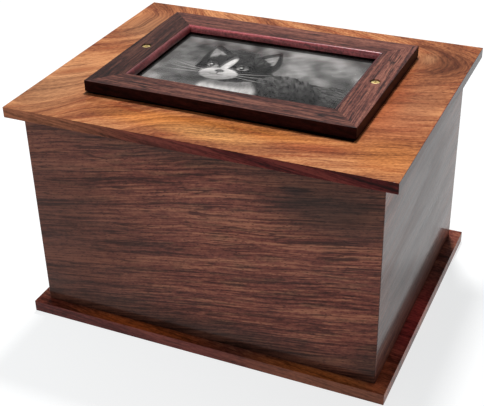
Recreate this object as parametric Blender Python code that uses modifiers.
"""Pet cremation urn: a rosewood box with a lift-off lid that carries a framed photo.

Four mitred panels stand on a base board and make a hollow, empty box. The lid board
rests on them and overhangs all round. On the lid lies a frame of four mitred
mouldings, held by two brass screws, with a glass pane and a photo print in its rabbet.

Metres, +Z up. The origin is under the middle of the base board, with +X along the
long side, and the front panel faces -Y.
"""

import math

import bmesh
import bpy

MM = 0.001

# Driving dimensions: the box
BODY_LENGTH = 232.0 * MM
BODY_WIDTH = 180.0 * MM
PANEL_HEIGHT = 139.0 * MM
PANEL_THICKNESS = 8.0 * MM

# Driving dimensions: the base board and the lid board
BASE_THICKNESS = 8.0 * MM
BASE_LEDGE_SIDES = 8.0 * MM
BASE_LEDGE_FRONT = 7.0 * MM
LID_THICKNESS = 7.0 * MM
LID_OVERHANG_SIDES = 9.0 * MM
LID_OVERHANG_FRONT = 7.5 * MM
BOARD_ARRIS = 0.6 * MM
ARRIS_SEGMENTS = 3

# Driving dimensions: the photo frame, its moulding and what lies in its rabbet
PRINT_LENGTH = 152.4 * MM
PRINT_WIDTH = 101.6 * MM
PRINT_THICKNESS = 0.5 * MM
GLASS_THICKNESS = 2.0 * MM
LIP_COVER = 8.5 * MM
RAIL_FLAT = 18.8 * MM
OVOLO_WIDTH = 2.4 * MM
OVOLO_HEIGHT = 4.2 * MM
QUIRK_DEPTH = 0.3 * MM
RAIL_ARRIS = 0.4 * MM
FRAME_SETBACK = 3.3 * MM
FRAME_LIFT = 0.7 * MM
OVOLO_STEPS = 8

# Driving dimensions: the brass screws and their holes
SCREW_HEAD_DIAMETER = 5.8 * MM
SCREW_HEAD_HEIGHT = 1.8 * MM
SCREW_HEAD_CROWN = 0.5 * MM
SCREW_SHANK_DIAMETER = 3.0 * MM
SCREW_BITE = 5.0 * MM
SCREW_TIP = 2.0 * MM
SCREW_SUNK = 0.5 * MM
CROSS_SPAN = 3.0 * MM
CROSS_SLOT = 0.7 * MM
CROSS_DEPTH = 1.0 * MM
ROUND_SEGMENTS = 48
CROWN_STEPS = 5

# Clearances, how far cutters stand out, and what counts as one point or one smooth face
FIT_GAP = 0.3 * MM
BORE_CLEARANCE = 0.3 * MM
PRINT_PLAY = 0.5 * MM
CUT_MARGIN = 1.0 * MM
WELD_DISTANCE = 0.01 * MM
SHARP_ANGLE = math.radians(35)

# Sizes worked out from the ones above
BASE_LENGTH = BODY_LENGTH + 2 * BASE_LEDGE_SIDES
BASE_WIDTH = BODY_WIDTH + 2 * BASE_LEDGE_FRONT
LID_LENGTH = BODY_LENGTH + 2 * LID_OVERHANG_SIDES
LID_WIDTH = BODY_WIDTH + 2 * LID_OVERHANG_FRONT

PANEL_BOTTOM = BASE_THICKNESS + FIT_GAP
LID_BOTTOM = PANEL_BOTTOM + PANEL_HEIGHT + FIT_GAP
LID_TOP = LID_BOTTOM + LID_THICKNESS

SIGHT_LENGTH = PRINT_LENGTH - 2 * LIP_COVER
SIGHT_WIDTH = PRINT_WIDTH - 2 * LIP_COVER
RAIL_WIDTH = RAIL_FLAT + OVOLO_WIDTH
FRAME_LENGTH = SIGHT_LENGTH + 2 * RAIL_WIDTH
FRAME_WIDTH = SIGHT_WIDTH + 2 * RAIL_WIDTH
RABBET_WIDTH = LIP_COVER + PRINT_PLAY

PRINT_BOTTOM = LID_TOP + FIT_GAP
GLASS_BOTTOM = PRINT_BOTTOM + PRINT_THICKNESS + FIT_GAP
LIP_BOTTOM = GLASS_BOTTOM + GLASS_THICKNESS + FIT_GAP
RAIL_BOTTOM = LID_TOP + FRAME_LIFT
RABBET_HEIGHT = LIP_BOTTOM - RAIL_BOTTOM
RAIL_HEIGHT = RABBET_HEIGHT + OVOLO_HEIGHT + QUIRK_DEPTH
RAIL_TOP = RAIL_BOTTOM + RAIL_HEIGHT

SCREW_X = FRAME_LENGTH / 2 - RAIL_FLAT / 2
SCREW_HEAD_TOP = RAIL_TOP - SCREW_SUNK
SCREW_SEAT = SCREW_HEAD_TOP - SCREW_HEAD_HEIGHT
HEAD_BORE_FLOOR = SCREW_SEAT - FIT_GAP
SCREW_END = LID_TOP - SCREW_BITE
PILOT_END = SCREW_END - FIT_GAP
HEAD_BORE_DIAMETER = SCREW_HEAD_DIAMETER + 2 * BORE_CLEARANCE
SHANK_BORE_DIAMETER = SCREW_SHANK_DIAMETER + 2 * BORE_CLEARANCE


def clear_scene():
    """Removes the objects that the scene starts with."""
    for obj in list(bpy.data.objects):
        bpy.data.objects.remove(obj, do_unlink=True)


def new_collection(name):
    """Returns an empty collection linked to the scene."""
    collection = bpy.data.collections.new(name)
    bpy.context.scene.collection.children.link(collection)
    return collection


def principled(name, colour, roughness, metallic=0.0, transmission=0.0):
    """Returns a plain Principled material."""
    material = bpy.data.materials.new(name)
    material.use_nodes = True
    material.diffuse_color = (*colour, 1.0)
    shader = material.node_tree.nodes["Principled BSDF"]
    shader.inputs["Base Color"].default_value = (*colour, 1.0)
    shader.inputs["Roughness"].default_value = roughness
    shader.inputs["Metallic"].default_value = metallic
    shader.inputs["Transmission Weight"].default_value = transmission
    return material


def put_in(collection, obj):
    """Moves an object into one collection."""
    for holder in list(obj.users_collection):
        holder.objects.unlink(obj)
    collection.objects.link(obj)


def scaled_cube(name, size, centre):
    """Returns a box of a size about a centre, from a cube primitive with its scale applied."""
    bpy.ops.mesh.primitive_cube_add(size=1.0, location=centre)
    box = bpy.context.active_object
    box.name = name
    box.scale = size
    bpy.ops.object.transform_apply(location=False, rotation=False, scale=True)
    return box


def board(name, length, width, thickness, bottom, material, collection):
    """Returns a flat board with eased arrises."""
    box = scaled_cube(name, (length, width, thickness), (0, 0, bottom + thickness / 2))
    easing = box.modifiers.new("eased_arris", "BEVEL")
    easing.width = BOARD_ARRIS
    easing.segments = ARRIS_SEGMENTS
    box.data.materials.append(material)
    put_in(collection, box)
    return box


def extruded_outline(name, outline, length):
    """Returns a closed mesh: a flat outline in XY, filled and extruded along Z about zero."""
    curve = bpy.data.curves.new(name, "CURVE")
    curve.dimensions = "2D"
    curve.fill_mode = "BOTH"
    curve.extrude = length / 2
    spline = curve.splines.new("POLY")
    spline.points.add(len(outline) - 1)
    for point, (across, up) in zip(spline.points, outline):
        point.co = (across, up, 0, 1)
    spline.use_cyclic_u = True
    drawn = bpy.data.objects.new(name, curve)
    bpy.context.scene.collection.objects.link(drawn)
    evaluated = drawn.evaluated_get(bpy.context.evaluated_depsgraph_get())
    mesh = bpy.data.meshes.new_from_object(evaluated)
    bpy.data.objects.remove(drawn, do_unlink=True)
    bpy.data.curves.remove(curve)
    return mesh


def mitred_bar(name, section, length, material, collection):
    """Returns a bar with a section (inward, up), cut at 45 degrees at both ends.

    The bar runs along X about zero, with its outer face at y = 0 and its inside at +Y.
    Each end is drawn in by the inward distance, so the outer face keeps the full length.
    """
    mesh = extruded_outline(name, section, length)
    form = bmesh.new()
    form.from_mesh(mesh)
    bmesh.ops.remove_doubles(form, verts=form.verts, dist=WELD_DISTANCE)
    end_cut = FIT_GAP / math.sqrt(2)
    for vert in form.verts:
        inward, up, along = vert.co
        reach = length / 2 - inward - end_cut
        vert.co = (math.copysign(reach, along), inward, up)
    bmesh.ops.recalc_face_normals(form, faces=form.faces)
    form.to_mesh(mesh)
    form.free()
    mesh.name = name
    mesh.shade_smooth()
    mesh.set_sharp_from_angle(angle=SHARP_ANGLE)
    bar = bpy.data.objects.new(name, mesh)
    bar.data.materials.append(material)
    collection.objects.link(bar)
    return bar


def placed(obj, turn, x, y, z):
    """Turns an object about Z and moves it to its place."""
    obj.rotation_euler = (0, 0, turn)
    obj.location = (x, y, z)
    return obj


def four_sides(names, section, length, width, centre_y, bottom, material, collection):
    """Returns four mitred bars round a rectangle: front, right, back and left."""
    places = (
        (length, 0.0, 0.0, -width / 2),
        (width, math.pi / 2, length / 2, 0.0),
        (length, math.pi, 0.0, width / 2),
        (width, -math.pi / 2, -length / 2, 0.0),
    )
    bars = []
    for name, (run, turn, x, y) in zip(names, places):
        bar = mitred_bar(name, section, run, material, collection)
        bars.append(placed(bar, turn, x, centre_y + y, bottom))
    return bars


def panel_section():
    """Returns the plain rectangle of a box panel."""
    return [(0, 0), (PANEL_THICKNESS, 0), (PANEL_THICKNESS, PANEL_HEIGHT), (0, PANEL_HEIGHT)]


def moulding_section():
    """Returns the frame moulding: eased outer arris, flat top, quirk, ovolo, lip and rabbet."""
    rabbet_start = RAIL_WIDTH - RABBET_WIDTH
    points = [
        (0, 0),
        (rabbet_start, 0),
        (rabbet_start, RABBET_HEIGHT),
        (RAIL_WIDTH, RABBET_HEIGHT),
    ]
    for step in range(1, OVOLO_STEPS + 1):
        angle = math.pi / 2 * step / OVOLO_STEPS
        inward = RAIL_FLAT + OVOLO_WIDTH * math.cos(angle)
        up = RABBET_HEIGHT + OVOLO_HEIGHT * math.sin(angle)
        points.append((inward, up))
    points.append((RAIL_FLAT, RAIL_HEIGHT))
    points.append((RAIL_ARRIS, RAIL_HEIGHT))
    points.append((0, RAIL_HEIGHT - RAIL_ARRIS))
    return points


def round_cutter(name, diameter, bottom, top, x, collection):
    """Returns a cylinder cutter from one height to another."""
    bpy.ops.mesh.primitive_cylinder_add(
        vertices=ROUND_SEGMENTS,
        radius=diameter / 2,
        depth=top - bottom,
        location=(x, FRAME_SETBACK, (top + bottom) / 2),
    )
    cylinder = bpy.context.active_object
    cylinder.name = name
    hide_cutter(cylinder, collection)
    return cylinder


def hide_cutter(obj, collection):
    """Keeps a cutter out of renders and shows it as wire."""
    obj.hide_render = True
    obj.display_type = "WIRE"
    put_in(collection, obj)


def cut(obj, cutter):
    """Takes a cutter's shape out of an object."""
    boolean = obj.modifiers.new(cutter.name, "BOOLEAN")
    boolean.operation = "DIFFERENCE"
    boolean.solver = "EXACT"
    boolean.object = cutter


def screw_outline():
    """Returns half of the screw's section, from the crown of its head down to its tip."""
    head = SCREW_HEAD_DIAMETER / 2
    shank = SCREW_SHANK_DIAMETER / 2
    rim = SCREW_HEAD_TOP - SCREW_HEAD_CROWN
    points = []
    for step in range(CROWN_STEPS + 1):
        angle = math.pi / 2 * step / CROWN_STEPS
        points.append((head * math.sin(angle), rim + SCREW_HEAD_CROWN * math.cos(angle)))
    points += [
        (head, SCREW_SEAT),
        (shank, SCREW_SEAT),
        (shank, SCREW_END + SCREW_TIP),
        (0, SCREW_END),
    ]
    return points


def brass_screw(name, x, material, collection, cutters):
    """Returns a turned screw with a cross recess in its head."""
    mesh = bpy.data.meshes.new(name)
    outline = [(across, 0, up) for across, up in screw_outline()]
    edges = [(index, index + 1) for index in range(len(outline) - 1)]
    mesh.from_pydata(outline, edges, [])
    screw = bpy.data.objects.new(name, mesh)
    screw.data.materials.append(material)
    collection.objects.link(screw)
    screw.location = (x, FRAME_SETBACK, 0)
    turning = screw.modifiers.new("turned", "SCREW")
    turning.steps = ROUND_SEGMENTS
    turning.render_steps = ROUND_SEGMENTS
    turning.use_merge_vertices = True
    turning.merge_threshold = WELD_DISTANCE
    turning.use_smooth_shade = True
    slot_height = CROSS_DEPTH + CUT_MARGIN
    slot_middle = SCREW_HEAD_TOP - CROSS_DEPTH + slot_height / 2
    spans = ((CROSS_SPAN, CROSS_SLOT), (CROSS_SLOT, CROSS_SPAN))
    for letter, (span_x, span_y) in zip("ab", spans):
        slot = scaled_cube(
            f"{name}_slot_{letter}",
            (span_x, span_y, slot_height),
            (x, FRAME_SETBACK, slot_middle),
        )
        hide_cutter(slot, cutters)
        cut(screw, slot)
    return screw


def build_box(parts, box_wood):
    """Builds the base board and the four panels."""
    board("base_board", BASE_LENGTH, BASE_WIDTH, BASE_THICKNESS, 0, box_wood, parts)
    names = ("front_panel", "right_panel", "back_panel", "left_panel")
    section = panel_section()
    four_sides(names, section, BODY_LENGTH, BODY_WIDTH, 0, PANEL_BOTTOM, box_wood, parts)


def build_lid(parts, lid_wood):
    """Builds the overhanging lid board."""
    size = (LID_LENGTH, LID_WIDTH, LID_THICKNESS)
    return board("lid_board", *size, LID_BOTTOM, lid_wood, parts)


def build_frame(parts, frame_wood):
    """Builds the four mouldings and returns the right and left ones, which take the screws."""
    names = ("frame_rail_front", "frame_rail_right", "frame_rail_back", "frame_rail_left")
    rails = four_sides(
        names,
        moulding_section(),
        FRAME_LENGTH,
        FRAME_WIDTH,
        FRAME_SETBACK,
        RAIL_BOTTOM,
        frame_wood,
        parts,
    )
    return rails[1], rails[3]


def build_picture(parts, print_card, glass):
    """Lays the photo print and its glass pane in the rabbet."""
    layers = (
        ("photo_print", PRINT_THICKNESS, PRINT_BOTTOM, print_card),
        ("glass_pane", GLASS_THICKNESS, GLASS_BOTTOM, glass),
    )
    for name, thickness, bottom, material in layers:
        centre = (0, FRAME_SETBACK, bottom + thickness / 2)
        sheet = scaled_cube(name, (PRINT_LENGTH, PRINT_WIDTH, thickness), centre)
        sheet.data.materials.append(material)
        put_in(parts, sheet)


def build_screws(parts, cutters, brass, lid, rail_right, rail_left):
    """Builds the two screws with their bores in the rails and pilot holes in the lid."""
    for side, x, rail in (("right", SCREW_X, rail_right), ("left", -SCREW_X, rail_left)):
        head_bore = round_cutter(
            f"head_bore_{side}",
            HEAD_BORE_DIAMETER,
            HEAD_BORE_FLOOR,
            RAIL_TOP + CUT_MARGIN,
            x,
            cutters,
        )
        shank_bore = round_cutter(
            f"shank_bore_{side}",
            SHANK_BORE_DIAMETER,
            RAIL_BOTTOM - CUT_MARGIN,
            HEAD_BORE_FLOOR + CUT_MARGIN,
            x,
            cutters,
        )
        pilot_hole = round_cutter(
            f"pilot_hole_{side}",
            SHANK_BORE_DIAMETER,
            PILOT_END,
            LID_TOP + CUT_MARGIN,
            x,
            cutters,
        )
        cut(rail, head_bore)
        cut(rail, shank_bore)
        cut(lid, pilot_hole)
        brass_screw(f"brass_screw_{side}", x, brass, parts, cutters)


def main():
    """Builds the urn from its pieces."""
    clear_scene()
    parts = new_collection("pet_cremation_urn")
    cutters = new_collection("cutters")
    box_wood = principled("dark_rosewood", (0.13, 0.045, 0.025), 0.35)
    lid_wood = principled("golden_rosewood", (0.50, 0.21, 0.07), 0.32)
    frame_wood = principled("blackish_rosewood", (0.09, 0.030, 0.022), 0.30)
    glass = principled("clear_glass", (0.95, 0.98, 0.97), 0.02, transmission=1.0)
    print_card = principled("grey_print", (0.25, 0.25, 0.25), 0.35)
    brass = principled("brass", (0.72, 0.50, 0.16), 0.28, metallic=1.0)
    build_box(parts, box_wood)
    lid = build_lid(parts, lid_wood)
    rail_right, rail_left = build_frame(parts, frame_wood)
    build_picture(parts, print_card, glass)
    build_screws(parts, cutters, brass, lid, rail_right, rail_left)


if __name__ == "__main__":
    main()
